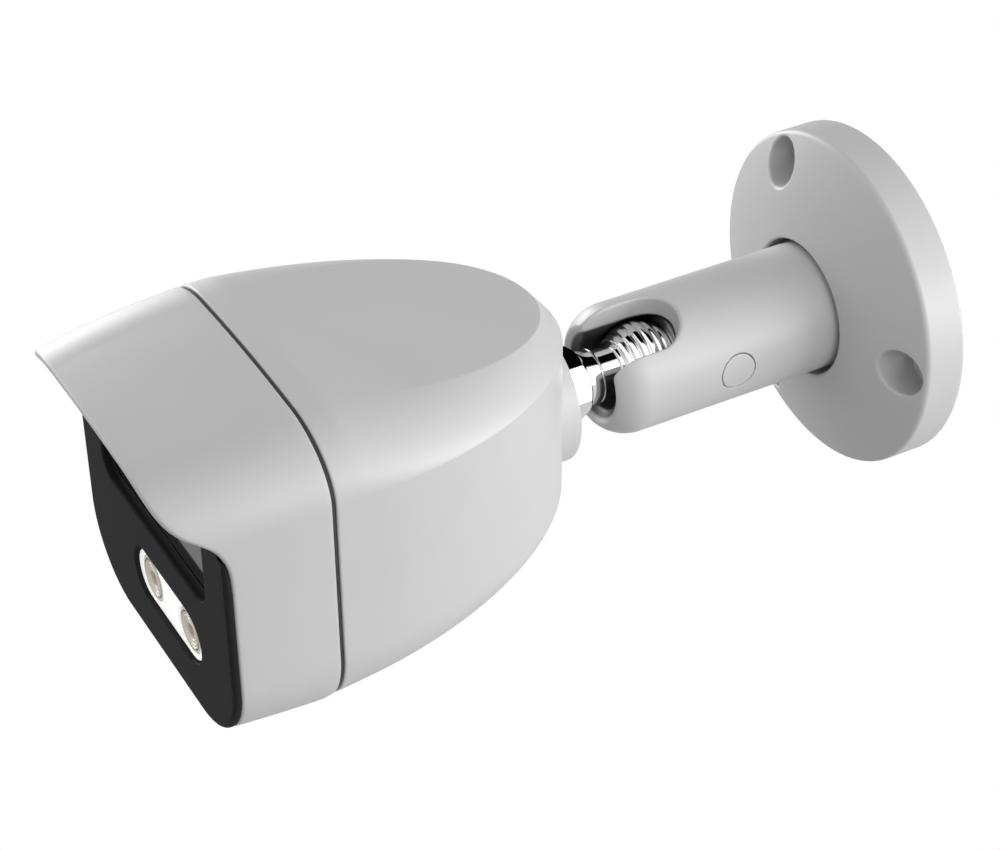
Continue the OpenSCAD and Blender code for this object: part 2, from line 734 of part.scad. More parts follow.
module cable_socket() color([0.93, 0.93, 0.9]) translate([0, 0, 2])
    slab_y(6, 3.5, 0.5, power_y - 7, power_y);

wall_plate();
swivel_screw();
swivel_washer();
arm();
arm_insert();
clamp_plunger();
lock_screw();
lock_screw_plug();
ball_stud();
stud_nut();
rear_housing();
housing_seal();
front_housing();
housing_screws();
stud_o_ring();
cable_grommet();
face_plate();
face_screws();
window_glass();
window_seal();
lamp_panel();
lamp_reflectors();
lamp_emitters();
lamp_board();
lens_barrel();
lens_front_glass();
lens_rear_glass();
lens_lock_ring();
lens_holder();
ir_filter();
image_sensor();
sensor_board();
processor();
main_bracket();
bracket_screws();
board_posts();
board_screws();
power_board();
cable_socket();
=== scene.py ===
import itertools
import math

import bmesh
import bpy
import numpy as np
from mathutils import Matrix, Vector


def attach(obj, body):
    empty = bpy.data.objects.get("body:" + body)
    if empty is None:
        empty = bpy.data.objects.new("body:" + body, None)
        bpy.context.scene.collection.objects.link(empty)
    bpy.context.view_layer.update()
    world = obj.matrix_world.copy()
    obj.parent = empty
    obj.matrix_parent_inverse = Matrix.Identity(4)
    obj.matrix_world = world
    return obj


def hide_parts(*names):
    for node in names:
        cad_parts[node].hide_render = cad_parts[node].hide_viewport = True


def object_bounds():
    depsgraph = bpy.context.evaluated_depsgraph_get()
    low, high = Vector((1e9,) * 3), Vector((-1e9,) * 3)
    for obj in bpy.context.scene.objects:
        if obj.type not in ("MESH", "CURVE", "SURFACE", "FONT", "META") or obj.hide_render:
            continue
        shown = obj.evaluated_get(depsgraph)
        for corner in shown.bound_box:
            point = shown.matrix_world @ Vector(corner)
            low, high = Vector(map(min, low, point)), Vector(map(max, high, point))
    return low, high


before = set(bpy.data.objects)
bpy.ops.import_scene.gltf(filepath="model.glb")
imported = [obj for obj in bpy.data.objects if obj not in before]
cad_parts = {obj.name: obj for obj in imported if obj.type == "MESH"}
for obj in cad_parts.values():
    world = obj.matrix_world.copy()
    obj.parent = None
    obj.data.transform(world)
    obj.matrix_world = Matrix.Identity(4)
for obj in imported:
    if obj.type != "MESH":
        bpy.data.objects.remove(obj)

# Sizes are in millimetres.  A point is (x, d, z): d is its distance from the
# wall, so the frame's y is -d.  The names are the ones that the CAD source uses.
MM = 0.001
PLATE_R, PLATE_RIM, PLATE_H = 35, 8.5, 15
COLLAR_R, COLLAR_FLOOR = 14.3, 9
HUB_R, HUB_FLOOR = 8, 5.5
POCKET, POCKET_H, HOLE_BOSS_R = (18, 31), 4.5, 7.5
HOLE_CIRCLE_R, WALL_SCREW_R, SCREW_HEAD_R, HEAD_SEAT = 29, 2.4, 4.8, 4
HOLE_TURNS = (-30, 90, 210)
SWIVEL_HOLE_R = 3.3
ARM_R, ARM_END, ROOT_Y = 13.2, 65.5, 9.3
ROOT_ROUND, NOSE_ROUND = 1.2, 8
BORE_R, MOUTH_R = 8.3, 7.2
MOUTH_BEVEL_Y, MOUTH_BEVEL = 62, 1.5
SLOT_W, SLOT_TURN, SLOT_END_Y = 12.8, math.radians(18), 53.4
LOCK_Y, LOCK_R, PLUG_R, PLUG_FLOOR, PLUG_GAP = 37.7, 3, 3.9, 11, 0.15
BALL_Y, BALL_R, NECK_R = 53, 8, 5
FLANGE_R, FLANGE_Y, FLARE = 5.6, (63.4, 66.6), 0.6
NUT_AF, NUT_Y, NUT_BEVEL = 13, 73.3, 1.2
STUD_R, STUD_END = 4, 86
O_RING_R, O_RING_T = 6.2, 1.8
SEAM_Y, SEAL_T = 135.4, 0.8
FRONT_Y, TIP_Y, REAR_Y = 154.75, 166.8, 73.7
WIDE_Y, WIDE_X, FRONT_X = 128, 34.9, 33.4
WALL = 2.2
BOSS_R, BOSS_Y, BOSS_END = 14, 73.6, 88
TOP_Z, TOP_FALL, TOP_FLAT_Y, FRONT_FALL, CROWN = 31.5, 8, 130, 1.2, 2.5
BOTTOM_Z, BOTTOM_RISE, BOTTOM_FLAT_Y = -32.4, 16.9, 137.6
EDGE_IN, EDGE_DROP, FOOT_R = (17, 3.6), (11.7, 4.5), (16.4, 3)
VISOR = np.array([(FRONT_Y, 8), (FRONT_Y, 24), (TIP_Y, 15), (TIP_Y, 33)], float)
FACE_FRONT, FACE_BACK, FACE_GAP = 156.25, 151.5, 0.25
WINDOW_X, WINDOW_Z, WINDOW_HALF_H, WINDOW_ROUND = 23.6, 8.7, 12.3, 4.5
LEDGE_IN, STEP_Y, GLASS_Y = 0.8, 154.65, 154.2
LAMP_X, LAMP_HALF_H, LAMP_SIDE, LAMP_DROP = 15.1, 5.7, 3.6, 16.9
LAMP_PITCH, LAMP_R = 8.5, 4.9
PANEL_Y, PANEL_INSET, PANEL_FLANGE, PANEL_LIP = 155.55, 0.4, 0.8, 1.4
CUP_FLOOR, CUP_RIM, DISH_H, DISH_R = 150.7, 155.45, 0.8, (1.5, 4.0)

cad_low, cad_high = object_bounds()


# ---- meshes ----------------------------------------------------------------

def add_piece(name, points, faces, material, body, nodes, slot, normals=None, weld=0.0):
    """A smooth mesh from (x, d, z) points in millimetres, riding on a body in place of CAD nodes."""
    mesh = bpy.data.meshes.new(name)
    points = np.asarray(points, float) * (MM, -MM, MM)
    mesh.from_pydata(points.tolist(), [], [tuple(int(i) for i in f) for f in faces])
    if weld:
        bm = bmesh.new()
        bm.from_mesh(mesh)
        bmesh.ops.remove_doubles(bm, verts=bm.verts, dist=weld * MM)
        bmesh.ops.dissolve_degenerate(bm, dist=weld * MM, edges=bm.edges)
        bmesh.ops.recalc_face_normals(bm, faces=bm.faces)
        bm.to_mesh(mesh)
        bm.free()
    mesh.polygons.foreach_set("use_smooth", [True] * len(mesh.polygons))
    if normals is not None:
        mesh.normals_split_custom_set_from_vertices((normals * (1, -1, 1)).tolist())
    mesh.materials.append(material)
    piece = bpy.data.objects.new(name, mesh)
    bpy.context.scene.collection.objects.link(piece)
    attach(piece, body)
    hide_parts(*nodes)
    return piece


def sharpen(piece, degrees):
    """Splits the shading along edges that turn by more than the angle."""
    piece.data.set_sharp_from_angle(angle=math.radians(degrees))


def grid_faces(rows, cols, first=0, close_rows=False):
    """Quads between the rows of a grid whose columns close on themselves."""
    faces = []
    for i in range(rows if close_rows else rows - 1):
        for j in range(cols):
            a, b = first + i * cols, first + (i + 1) % rows * cols
            k = (j + 1) % cols
            faces.append((a + j, b + j, b + k, a + k))
    return faces


def revolve(profile, steps=128, centre=(0, 0)):
    """Points and faces of a closed (radius, d) profile turned about an axis along d."""
    turn = np.arange(steps) * 2 * math.pi / steps
    r, d = np.asarray(profile, float).T
    points = np.stack([
        centre[0] + r[:, None] * np.cos(turn),
        np.repeat(d[:, None], steps, 1),
        centre[1] + r[:, None] * np.sin(turn)], -1)
    return points.reshape(-1, 3), grid_faces(len(profile), steps, close_rows=True)


def arc(centre, radius, start, end, steps):
    """Points on an arc in a profile, with angles in degrees."""
    turn = np.radians(np.linspace(start, end, steps + 1))
    return np.stack([centre[0] + radius * np.cos(turn), centre[1] + radius * np.sin(turn)], -1)


def join(*parts):
    """One list of points and one of faces from several pairs."""
    points, faces, first = [], [], 0
    for p, f in parts:
        points.append(p)
        faces += [tuple(i + first for i in q) for q in f]
        first += len(p)
    return np.concatenate(points), faces


# ---- distance fields -------------------------------------------------------
# A field gives each point's distance outside a surface, negative inside.

def both(a, b, r=0.0):
    """Where both fields hold, with the edge between them rounded."""
    if r == 0:
        return np.maximum(a, b)
    return np.minimum(np.maximum(a, b), -r) + np.hypot(np.maximum(a + r, 0), np.maximum(b + r, 0))


def either(a, b, r=0.0):
    """Where one field or the other holds."""
    return -both(-a, -b, r)


def without(a, b, r=0.0):
    """The first field with the second cut out of it."""
    return both(a, -b, r)


def slab(d, near, far):
    """Distance from the space between two distances from the wall."""
    return np.maximum(near - d, d - far)


def rounded(x, z, half_x, half_z, r):
    """Distance from a rectangle with rounded corners."""
    a, b = np.abs(x) - half_x + r, np.abs(z) - half_z + r
    return np.hypot(np.maximum(a, 0), np.maximum(b, 0)) + np.minimum(np.maximum(a, b), 0) - r


def slope(field, points, reach=0.01):
    """How fast the field grows at each point, along x, d and z."""
    g = np.stack([field(points + reach * e) - field(points - reach * e) for e in np.eye(3)], -1)
    return g / (2 * reach)


def net(field, low, high, step):
    """Points, faces and normals of a field's surface.

    Each grid cell that the surface crosses gets one point, and each grid edge
    that it crosses gets one face.  The points are then moved onto the surface.
    """
    low = np.array(low, float)
    count = np.ceil((np.array(high) - low) / step).astype(int) + 1
    axes = [low[k] + step * np.arange(count[k]) for k in range(3)]
    grid = np.stack(np.meshgrid(*axes, indexing="ij"), -1)
    value = field(grid.reshape(-1, 3)).reshape(count)
    inside = value < 0
    cells = count - 1
    corners = sum(
        inside[i:i + cells[0], j:j + cells[1], k:k + cells[2]].astype(np.int8)
        for i, j, k in itertools.product((0, 1), repeat=3))
    crossed = (corners > 0) & (corners < 8)
    number = np.full(cells, -1)
    number[crossed] = np.arange(crossed.sum())
    place = np.argwhere(crossed)
    total, hits = np.zeros(place.shape), np.zeros(len(place))
    faces = []
    for axis in range(3):
        unit = np.eye(3, dtype=int)
        along, b, c = unit[axis], unit[(axis + 1) % 3], unit[(axis + 2) % 3]
        for m, n in itertools.product((0, 1), repeat=2):
            p = place + m * b + n * c
            at, after = value[tuple(p.T)], value[tuple((p + along).T)]
            cut = (at < 0) != (after < 0)
            share = np.where(cut, at / np.where(cut, at - after, 1), 0)
            total += np.where(cut[:, None], p + share[:, None] * along, 0)
            hits += cut
        start = inside[tuple(slice(0, cells[k]) if k == axis else slice(1, cells[k]) for k in range(3))]
        end = inside[tuple(slice(1, None) if k == axis else slice(1, cells[k]) for k in range(3))]
        edge = np.argwhere(start != end) + 1 - along
        leaves = inside[tuple(edge.T)]
        quad = np.stack([number[tuple(q.T)] for q in (edge - b - c, edge - c, edge, edge - b)], -1)
        faces.append(np.where(leaves[:, None], quad[:, ::-1], quad))
    points = low + step * total / hits[:, None]
    for _ in range(4):
        g = slope(field, points)
        move = field(points)[:, None] * g / np.maximum((g * g).sum(1), 0.25)[:, None]
        points -= np.clip(move, -step, step)
    normals = slope(field, points)
    normals /= np.maximum(np.linalg.norm(normals, axis=1), 1e-9)[:, None]
    return points, np.concatenate(faces), normals


# ---- materials -------------------------------------------------------------

def make_material(name, colour, roughness, metallic=0.0, tint=0.04, mottle=60, grain=2600,
                  bump=0.05, rough_spread=0.08, wear=0.0, painted_shade_within=0.0, **sockets):
    """A procedural finish: soft mottling, a fine grain and edges that have been handled.

    Surfaces nearer to the mount's axis than the shade radius (in metres) get painted shade: near black,
    standing in for the shade inside the arm's bore.
    """
    material = bpy.data.materials.new(name)
    material.use_nodes = True
    nodes, links = material.node_tree.nodes, material.node_tree.links
    shader = nodes["Principled BSDF"]
    where = nodes.new("ShaderNodeTexCoord")
    soft, fine = nodes.new("ShaderNodeTexNoise"), nodes.new("ShaderNodeTexNoise")
    for noise, scale, detail in ((soft, mottle, 3), (fine, grain, 2)):
        noise.inputs["Scale"].default_value = scale
        noise.inputs["Detail"].default_value = detail
        links.new(where.outputs["Object"], noise.inputs["Vector"])
    shades = nodes.new("ShaderNodeValToRGB")
    shades.color_ramp.elements[0].position, shades.color_ramp.elements[1].position = 0.3, 0.7
    for element, by in zip(shades.color_ramp.elements, (1 - tint, 1 + tint)):
        element.color = (*[min(1.0, c * by) for c in colour], 1)
    links.new(soft.outputs["Fac"], shades.inputs["Fac"])
    paint = shades.outputs["Color"]
    if wear:
        edges, ramp = nodes.new("ShaderNodeNewGeometry"), nodes.new("ShaderNodeMapRange")
        ramp.inputs["From Min"].default_value, ramp.inputs["From Max"].default_value = 0.51, 0.6
        ramp.inputs["To Max"].default_value = wear
        links.new(edges.outputs["Pointiness"], ramp.inputs["Value"])
        rub = nodes.new("ShaderNodeMix")
        rub.data_type = "RGBA"
        rub.inputs["B"].default_value = (*[min(1.0, c * 1.25 + 0.03) for c in colour], 1)
        links.new(ramp.outputs["Result"], rub.inputs["Factor"])
        links.new(paint, rub.inputs["A"])
        paint = rub.outputs["Result"]
    # Painted shade: near-black colour laid on surfaces inside the bore, where shade falls.
    if painted_shade_within:
        flat, reach = nodes.new("ShaderNodeVectorMath"), nodes.new("ShaderNodeVectorMath")
        flat.operation, reach.operation = "MULTIPLY", "LENGTH"
        flat.inputs[1].default_value = (1, 0, 1)
        depth, bore_shade = nodes.new("ShaderNodeMapRange"), nodes.new("ShaderNodeMix")
        depth.inputs["From Min"].default_value = painted_shade_within - 0.0003
        depth.inputs["From Max"].default_value = painted_shade_within + 0.0003
        bore_shade.data_type = "RGBA"
        bore_shade.inputs["A"].default_value = (0.02, 0.02, 0.02, 1)
        links.new(where.outputs["Object"], flat.inputs[0])
        links.new(flat.outputs["Vector"], reach.inputs[0])
        links.new(reach.outputs["Value"], depth.inputs["Value"])
        links.new(depth.outputs["Result"], bore_shade.inputs["Factor"])
        links.new(paint, bore_shade.inputs["B"])
        paint = bore_shade.outputs["Result"]
    links.new(paint, shader.inputs["Base Color"])
    spread = nodes.new("ShaderNodeMapRange")
    spread.inputs["To Min"].default_value = roughness - rough_spread / 2
    spread.inputs["To Max"].default_value = roughness + rough_spread / 2
    links.new(fine.outputs["Fac"], spread.inputs["Value"])
    links.new(spread.outputs["Result"], shader.inputs["Roughness"])
    relief = nodes.new("ShaderNodeBump")
    relief.inputs["Strength"].default_value = bump
    relief.inputs["Distance"].default_value = 0.0001
    links.new(fine.outputs["Fac"], relief.inputs["Height"])
    links.new(relief.outputs["Normal"], shader.inputs["Normal"])
    shader.inputs["Metallic"].default_value = metallic
    for socket, value in sockets.items():
        shader.inputs[socket.replace("_", " ")].default_value = value
    return material


SHELL = dict(colour=(0.5, 0.5, 0.502), roughness=0.42, wear=0.25, tint=0.012)

FINISHES = {
    "shell_paint": make_material("shell_paint", **SHELL),
    # The arm's bore gets painted shade, near black.
    "arm_paint": make_material("arm_paint", **SHELL, painted_shade_within=(BORE_R + 0.5) * MM),
    "black_plastic": make_material("black_plastic", (0.019, 0.019, 0.02), 0.55, grain=3200,
                                   wear=0.1, Specular_IOR_Level=0.03),
    "seal_rubber": make_material("seal_rubber", (0.04, 0.04, 0.042), 0.75, bump=0.2),
    "chrome": make_material("chrome", (0.86, 0.86, 0.87), 0.07, 1.0, tint=0.01, bump=0.01,
                            rough_spread=0.04),
    "steel": make_material("steel", (0.55, 0.55, 0.56), 0.32, 1.0, grain=1800, bump=0.1),
    # The white panel glows faintly: painted light, since the panel itself is no lamp.
    "white_panel": make_material("white_panel", (0.93, 0.93, 0.93), 0.3, tint=0.005,
                                 Emission_Color=(1, 1, 1, 1), Emission_Strength=0.4),
    "reflector": make_material("reflector", (0.86, 0.81, 0.72), 0.35, tint=0.05, bump=0.1),
    "lamp_die": make_material("lamp_die", (0.45, 0.36, 0.26), 0.35, tint=0.1, mottle=900),
    "smoked_glass": make_material("smoked_glass", (0.03, 0.03, 0.032), 0.08, tint=0.02,
                                  bump=0.0, rough_spread=0.02),
    "lens_glass": make_material("lens_glass", (0.05, 0.06, 0.1), 0.03, tint=0.2, bump=0.0,
                                rough_spread=0.02, Coat_Weight=1.0),
    "filter_glass": make_material("filter_glass", (0.25, 0.05, 0.07), 0.05, tint=0.1, bump=0.0,
                                  rough_spread=0.02),
    "circuit_board": make_material("circuit_board", (0.02, 0.13, 0.06), 0.35, mottle=500, tint=0.3),
    "board_white": make_material("board_white", (0.8, 0.8, 0.79), 0.4, mottle=500),
    "chip": make_material("chip", (0.02, 0.02, 0.022), 0.5, bump=0.2),
    "brass": make_material("brass", (0.72, 0.5, 0.2), 0.28, 1.0, bump=0.1),
    "aluminium": make_material("aluminium", (0.7, 0.7, 0.71), 0.35, 1.0, bump=0.15),
    "socket_plastic": make_material("socket_plastic", (0.75, 0.73, 0.68), 0.45),
}


# ---- the housing's sections ------------------------------------------------

TOP_STEPS, EDGE_STEPS, SIDE_STEPS, FOOT_STEPS = 22, 26, 22, 24


def part_of(a, b, v):
    """How far v has come from a to b, from 0 to 1."""
    return np.clip((v - a) / (b - a), 0, 1)


def mix(a, b, t):
    """The value a share t of the way from a to b."""
    return a + (b - a) * t


def top_at(x, d):
    """Height of the housing's top."""
    front = FRONT_FALL * (np.maximum(0, d - TOP_FLAT_Y) / (FRONT_Y - TOP_FLAT_Y)) ** 2
    sides = CROWN * part_of(REAR_Y, FRONT_Y, d) * (x / WIDE_X) ** 2
    return TOP_Z - TOP_FALL * part_of(TOP_FLAT_Y, REAR_Y, d) - front - sides


def bottom_at(d):
    """Height of the housing's underside."""
    return BOTTOM_Z + BOTTOM_RISE * part_of(BOTTOM_FLAT_Y, REAR_Y, d)


def flank(d):
    """Half the housing's width."""
    return WIDE_X - (WIDE_X - FRONT_X) * ((d - WIDE_Y) / (FRONT_Y - WIDE_Y)) ** 2


def half_section(x, d, normal=(1, 0), inset=0.0):
    """Half a section, from the middle of the top round the side to the middle of the bottom."""
    t = part_of(SEAM_Y, REAR_Y, d)
    wide = mix(*EDGE_IN, t) - inset / 2
    drop = mix(*EDGE_DROP, t) - inset / 2
    r = max(0.8, mix(*FOOT_R, t) - inset)
    px, pd = max(0, x - inset * normal[0]), d + inset * normal[1]
    ax, ad = max(0, px - wide * normal[0]), pd + wide * normal[1]
    fx = ax * (1 - (1 - np.arange(TOP_STEPS) / TOP_STEPS) ** 1.5)
    top = np.stack([fx, np.full(TOP_STEPS, ad), top_at(fx, ad) - inset], -1)
    turn = np.linspace(0, 1, EDGE_STEPS + 1)
    sweep = np.sin(turn * math.pi / 2)
    fall = 1 - np.cos(turn * math.pi / 2)
    back = wide * (1 - mix(sweep, turn, t))
    za = top_at(ax, ad) - inset
    edge = np.stack([np.maximum(0, px - back * normal[0]), pd + back * normal[1],
                     za - drop * mix(fall, turn, t)], -1)
    along = 0.5 - 0.5 * np.cos(np.linspace(0, 1, SIDE_STEPS + 1)[1:-1] * math.pi)
    low = bottom_at(pd) + inset + r
    side = np.stack([np.full(len(along), px), np.full(len(along), pd),
                     mix(za - drop, low, along)], -1)
    quarter = np.linspace(0, math.pi / 2, FOOT_STEPS + 1)
    s = r * (1 - np.cos(quarter))
    qd = pd + s * normal[1]
    foot = np.stack([np.maximum(0, px - s * normal[0]), qd,
                     bottom_at(qd) + inset + r * (1 - np.sin(quarter))], -1)
    fx = foot[-1, 0] * (1 - np.linspace(0, 1, 9)[1:])
    floor = np.stack([fx, np.full(8, foot[-1, 1]), np.full(8, foot[-1, 2])], -1)
    return np.concatenate([top, edge, side, foot, floor])


def closed(half):
    """Both halves of a section as one closed loop."""
    return np.concatenate([half, half[-2:0:-1] * (-1, 1, 1)])


def rear_section(turn, inset=0.0):
    """The section at an angle round the rear end's elliptic outline."""
    length = WIDE_Y - REAR_Y
    normal = np.array([math.cos(turn) / WIDE_X, math.sin(turn) / length])
    normal /= np.linalg.norm(normal)
    x = WIDE_X * math.cos(turn) if turn < math.pi / 2 - 1e-6 else 0.0
    return half_section(x, WIDE_Y - length * math.sin(turn), normal, inset)


def visor_reach(z):
    """How far from the wall the front housing reaches at a height."""
    t = np.linspace(0, 1, 400)
    w = np.stack([(1 - t) ** 3, 3 * (1 - t) ** 2 * t, 3 * (1 - t) * t * t, t ** 3], -1)
    curve = w @ VISOR
    return np.interp(z, curve[:, 1], curve[:, 0])


# ---- wall mount ------------------------------------------------------------

def dome(r):
    """How far the wall plate's face stands from the wall at a radius."""
    return PLATE_H - (PLATE_H - PLATE_RIM) * (r * r - COLLAR_R ** 2) / (PLATE_R ** 2 - COLLAR_R ** 2)


def wall_plate(p):
    x, d, z = p.T
    r = np.hypot(x, z)
    steep = -2 * (PLATE_H - PLATE_RIM) * r / (PLATE_R ** 2 - COLLAR_R ** 2)
    body = both((d - dome(r)) / np.sqrt(1 + steep * steep), r - PLATE_R, 0.7)
    body = both(body, -d, 0.3)
    body = without(body, both(r - COLLAR_R, COLLAR_FLOOR - d), 0.45)
    pocket = both(both(r - POCKET[1], POCKET[0] - r), d - POCKET_H)
    for turn in HOLE_TURNS:
        a = math.radians(turn)
        q = np.hypot(x - HOLE_CIRCLE_R * math.sin(a), z - HOLE_CIRCLE_R * math.cos(a))
        body = without(body, both(q - SCREW_HEAD_R, HEAD_SEAT - d), 0.5)
        body = without(body, q - WALL_SCREW_R, 0.15)
        pocket = without(pocket, q - HOLE_BOSS_R)
    body = without(body, pocket, 0.2)
    body = without(body, both(r - HUB_R, d - HUB_FLOOR), 0.2)
    return without(body, r - SWIVEL_HOLE_R)


def slot_frame(x, z):
    """Coordinates across the slot and out through it."""
    return (x * math.cos(SLOT_TURN) - z * math.sin(SLOT_TURN),
            x * math.sin(SLOT_TURN) + z * math.cos(SLOT_TURN))


def arm(p):
    x, d, z = p.T
    r = np.hypot(x, z)
    body = both(both(r - ARM_R, d - ARM_END, NOSE_ROUND), ROOT_Y - d, ROOT_ROUND)
    bore = np.minimum(np.where(d < BALL_Y, r, np.hypot(r, d - BALL_Y)) - BORE_R,
                      both(r - MOUTH_R, BALL_Y - d))
    body = without(body, bore, 0.5)
    cone = (r - MOUTH_R - MOUTH_BEVEL * (d - MOUTH_BEVEL_Y)) / math.hypot(1, MOUTH_BEVEL)
    body = without(body, both(cone, BALL_Y - d), 0.6)
    across, out = slot_frame(x, z)
    width = np.where(d > SLOT_END_Y, np.abs(across), np.hypot(across, d - SLOT_END_Y))
    body = without(body, both(width - SLOT_W / 2, -out), 0.7)
    q = np.hypot(z, d - LOCK_Y)
    body = without(body, both(q - PLUG_R, PLUG_FLOOR - x), 0.1)
    return without(body, both(q - LOCK_R, -x))


def lock_screw_plug(p):
    x, d, z = p.T
    body = both(np.hypot(x, z) - ARM_R, np.hypot(z, d - LOCK_Y) - PLUG_R + PLUG_GAP, 0.12)
    return both(body, PLUG_FLOOR - x)


shell = FINISHES["shell_paint"]
for name, field, box, step, body, finish in (
        ("wall_plate", wall_plate, ((-36, -1, -36), (36, 16, 36)), 0.42, "mount", shell),
        ("arm", arm, ((-14, 8, -14), (14, 67, 14)), 0.3, "arm", FINISHES["arm_paint"]),
        ("lock_screw_plug", lock_screw_plug, ((10, 33, -5), (14, 42.5, 5)), 0.2, "arm", shell)):
    points, faces, normals = net(field, *box, step)
    add_piece(name + "_skin", points, faces, finish, body, [name], "shell_paint", normals)


# ---- ball stud and nut -----------------------------------------------------

RIDGES, RIDGE_H = 10, 0.4
NECK_TURN = 38.7        # degrees from the axis at which the ball runs into its neck
THREAD_PITCH, THREAD_H = 1.25, 0.25


def stud_profile():
    """The stud's (radius, d) profile: ridged ball, neck, flange and thread."""
    polar = np.radians(np.linspace(180, NECK_TURN, 390))
    share = (math.pi - polar) / math.radians(180 - NECK_TURN)
    wave = 0.5 - 0.5 * np.cos(share * RIDGES * 2 * math.pi)
    r = BALL_R - RIDGE_H * wave ** 3 * part_of(0, 0.35, math.pi - polar)
    ball = np.stack([r * np.sin(polar), BALL_Y + r * np.cos(polar)], -1)
    ball[0, 0] = 0.02
    near, far = FLANGE_Y
    neck = [(NECK_R, BALL_Y + 6.9), (NECK_R, near - FLARE - 0.1)]
    flare = arc((NECK_R + FLARE, near - FLARE), FLARE, 180, 90, 8)[:-1]
    flange = np.concatenate([arc((FLANGE_R - 0.5, near + 0.5), 0.5, -60, 0, 7),
                             arc((FLANGE_R - 0.2, far - 0.2), 0.2, 0, 90, 5)])
    turns = np.linspace(far + 0.3, STUD_END - 0.6, 120)
    groove = THREAD_H * (1 - np.cos((turns - far) / THREAD_PITCH * 2 * math.pi))
    thread = np.stack([STUD_R - groove, turns], -1)
    end = [(STUD_R - 0.6, STUD_END), (0.02, STUD_END)]
    return np.concatenate([ball, neck, flare, flange, thread, end])


def hex_nut():
    """A hexagon nut whose corners are cut by a cone at both ends, as points and faces."""
    steps, half = 180, NUT_AF / 2
    turn = np.arange(steps) * 2 * math.pi / steps
    flat = half / np.cos(turn % (math.pi / 3) - math.pi / 6)
    corner = half / math.cos(math.pi / 6)
    flat = np.minimum(flat, corner - 0.12)
    rim = half - 0.35
    chamfer = np.maximum(0, flat - rim) / NUT_BEVEL
    near, far = FLANGE_Y[1] + 0.02, NUT_Y
    rows = [(np.full(steps, STUD_R), np.full(steps, near + 0.6)),
            (np.full(steps, STUD_R + 0.6), np.full(steps, near)),
            (np.full(steps, rim), np.full(steps, near)),
            (flat - 0.05, near + np.maximum(0, chamfer - 0.05)), (flat, near + chamfer + 0.05),
            (flat, far - chamfer - 0.05), (flat - 0.05, far - np.maximum(0, chamfer - 0.05)),
            (np.full(steps, rim), np.full(steps, far)),
            (np.full(steps, STUD_R + 0.6), np.full(steps, far)),
            (np.full(steps, STUD_R), np.full(steps, far - 0.6))]
    points = np.concatenate([np.stack([r * np.cos(turn), d, r * np.sin(turn)], -1) for r, d in rows])
    return points, grid_faces(len(rows), steps, close_rows=True)


chrome = FINISHES["chrome"]
stud = add_piece("ball_stud_skin", *revolve(stud_profile(), 160), chrome, "stud", ["ball_stud"],
                 "chrome", weld=0.001)
sharpen(stud, 50)
nut = add_piece("stud_nut_skin", *hex_nut(), chrome, "stud", ["stud_nut"], "chrome", weld=0.001)
sharpen(nut, 20)


# ---- housings --------------------------------------------------------------

EDGE_ROUND = 0.3


def loft(sections):
    """Points and faces of a tube through sections whose last one joins the first."""
    cols = len(sections[0])
    return np.concatenate(sections), grid_faces(len(sections), cols, close_rows=True)


def rounded_ends(d, outward):
    """Rows of (d, inset) that round an open end's outer edge, from the skin inward."""
    turn = np.radians(np.linspace(0, 90, 5))
    return [(d - outward * EDGE_ROUND * (1 - math.sin(a)), EDGE_ROUND * (1 - math.cos(a))) for a in turn]


def rear_housing():
    end = SEAM_Y - SEAL_T / 2
    lip = [closed(half_section(flank(d), d, inset=e)) for d, e in rounded_ends(end, 1)]
    inner_lip = [closed(half_section(flank(end), end, inset=WALL))]
    plain = [closed(half_section(flank(d), d)) for d in np.linspace(WIDE_Y, end - 0.6, 10)]
    inner_plain = [closed(half_section(flank(d), d, inset=WALL)) for d in (end - 0.5, WIDE_Y)]
    outer = [closed(rear_section(a)) for a in np.radians(np.linspace(90, 1.2, 80))]
    inner = [closed(rear_section(a, WALL)) for a in np.radians(np.linspace(3, 90, 30))]
    skin = outer + plain + lip + inner_lip + inner_plain + inner
    cols = len(skin[0])
    return np.concatenate(skin), grid_faces(len(skin), cols)


def rear_boss():
    r = 0.5
    profile = np.concatenate([
        [(STUD_R + 0.1, BOSS_END), (STUD_R + 0.1, BOSS_Y + O_RING_T)],
        [(O_RING_R, BOSS_Y + O_RING_T), (O_RING_R, BOSS_Y)],
        arc((BOSS_R - r, BOSS_Y + r), r, -90, 0, 6), [(BOSS_R, BOSS_END)]])
    return revolve(profile, 160)


rear = add_piece("rear_housing_skin", *join(rear_housing(), rear_boss()), shell, "camera",
                 ["rear_housing"], "shell_paint", weld=0.002)
sharpen(rear, 40)

LIP = 1.3          # thickness of the visor's rounded edge


def front_housing():
    """A loft from the seam to the visor's edge and back along the inside."""
    start = SEAM_Y + SEAL_T / 2
    reach = np.full(len(half_section(flank(FRONT_Y), FRONT_Y)), TIP_Y)
    for _ in range(12):
        heights = np.array([half_section(flank(d), d)[i, 2] for i, d in enumerate(reach)])
        reach = visor_reach(heights)

    def row(share, back, inset):
        """The section whose every point lies a share of the way to the edge, less back."""
        ds = start + (reach - back - start) * share
        return closed(np.array([half_section(flank(d), d, inset=inset)[i] for i, d in enumerate(ds)]))

    skin = [closed(half_section(flank(start), start, inset=WALL))]
    skin += [closed(half_section(flank(d), d, inset=e)) for d, e in rounded_ends(start, -1)[::-1]]
    skin += [row(s, LIP / 2, 0) for s in np.linspace(0.05, 1, 26)]
    for a in np.radians(np.linspace(15, 165, 9)):
        skin.append(row(1, LIP / 2 * (1 - math.sin(a)), LIP / 2 * (1 - math.cos(a))))
    for share in (1, 0.9, 0.8, 0.7, 0.6, 0.45, 0.3, 0.15):
        skin.append(row(share, LIP / 2 + 0.3, LIP + (WALL - LIP) * min(1, (1 - share) / 0.3)))
    return loft(skin)


front = add_piece("front_housing_skin", *front_housing(), shell, "camera", ["front_housing"],
                  "shell_paint", weld=0.002)
sharpen(front, 40)


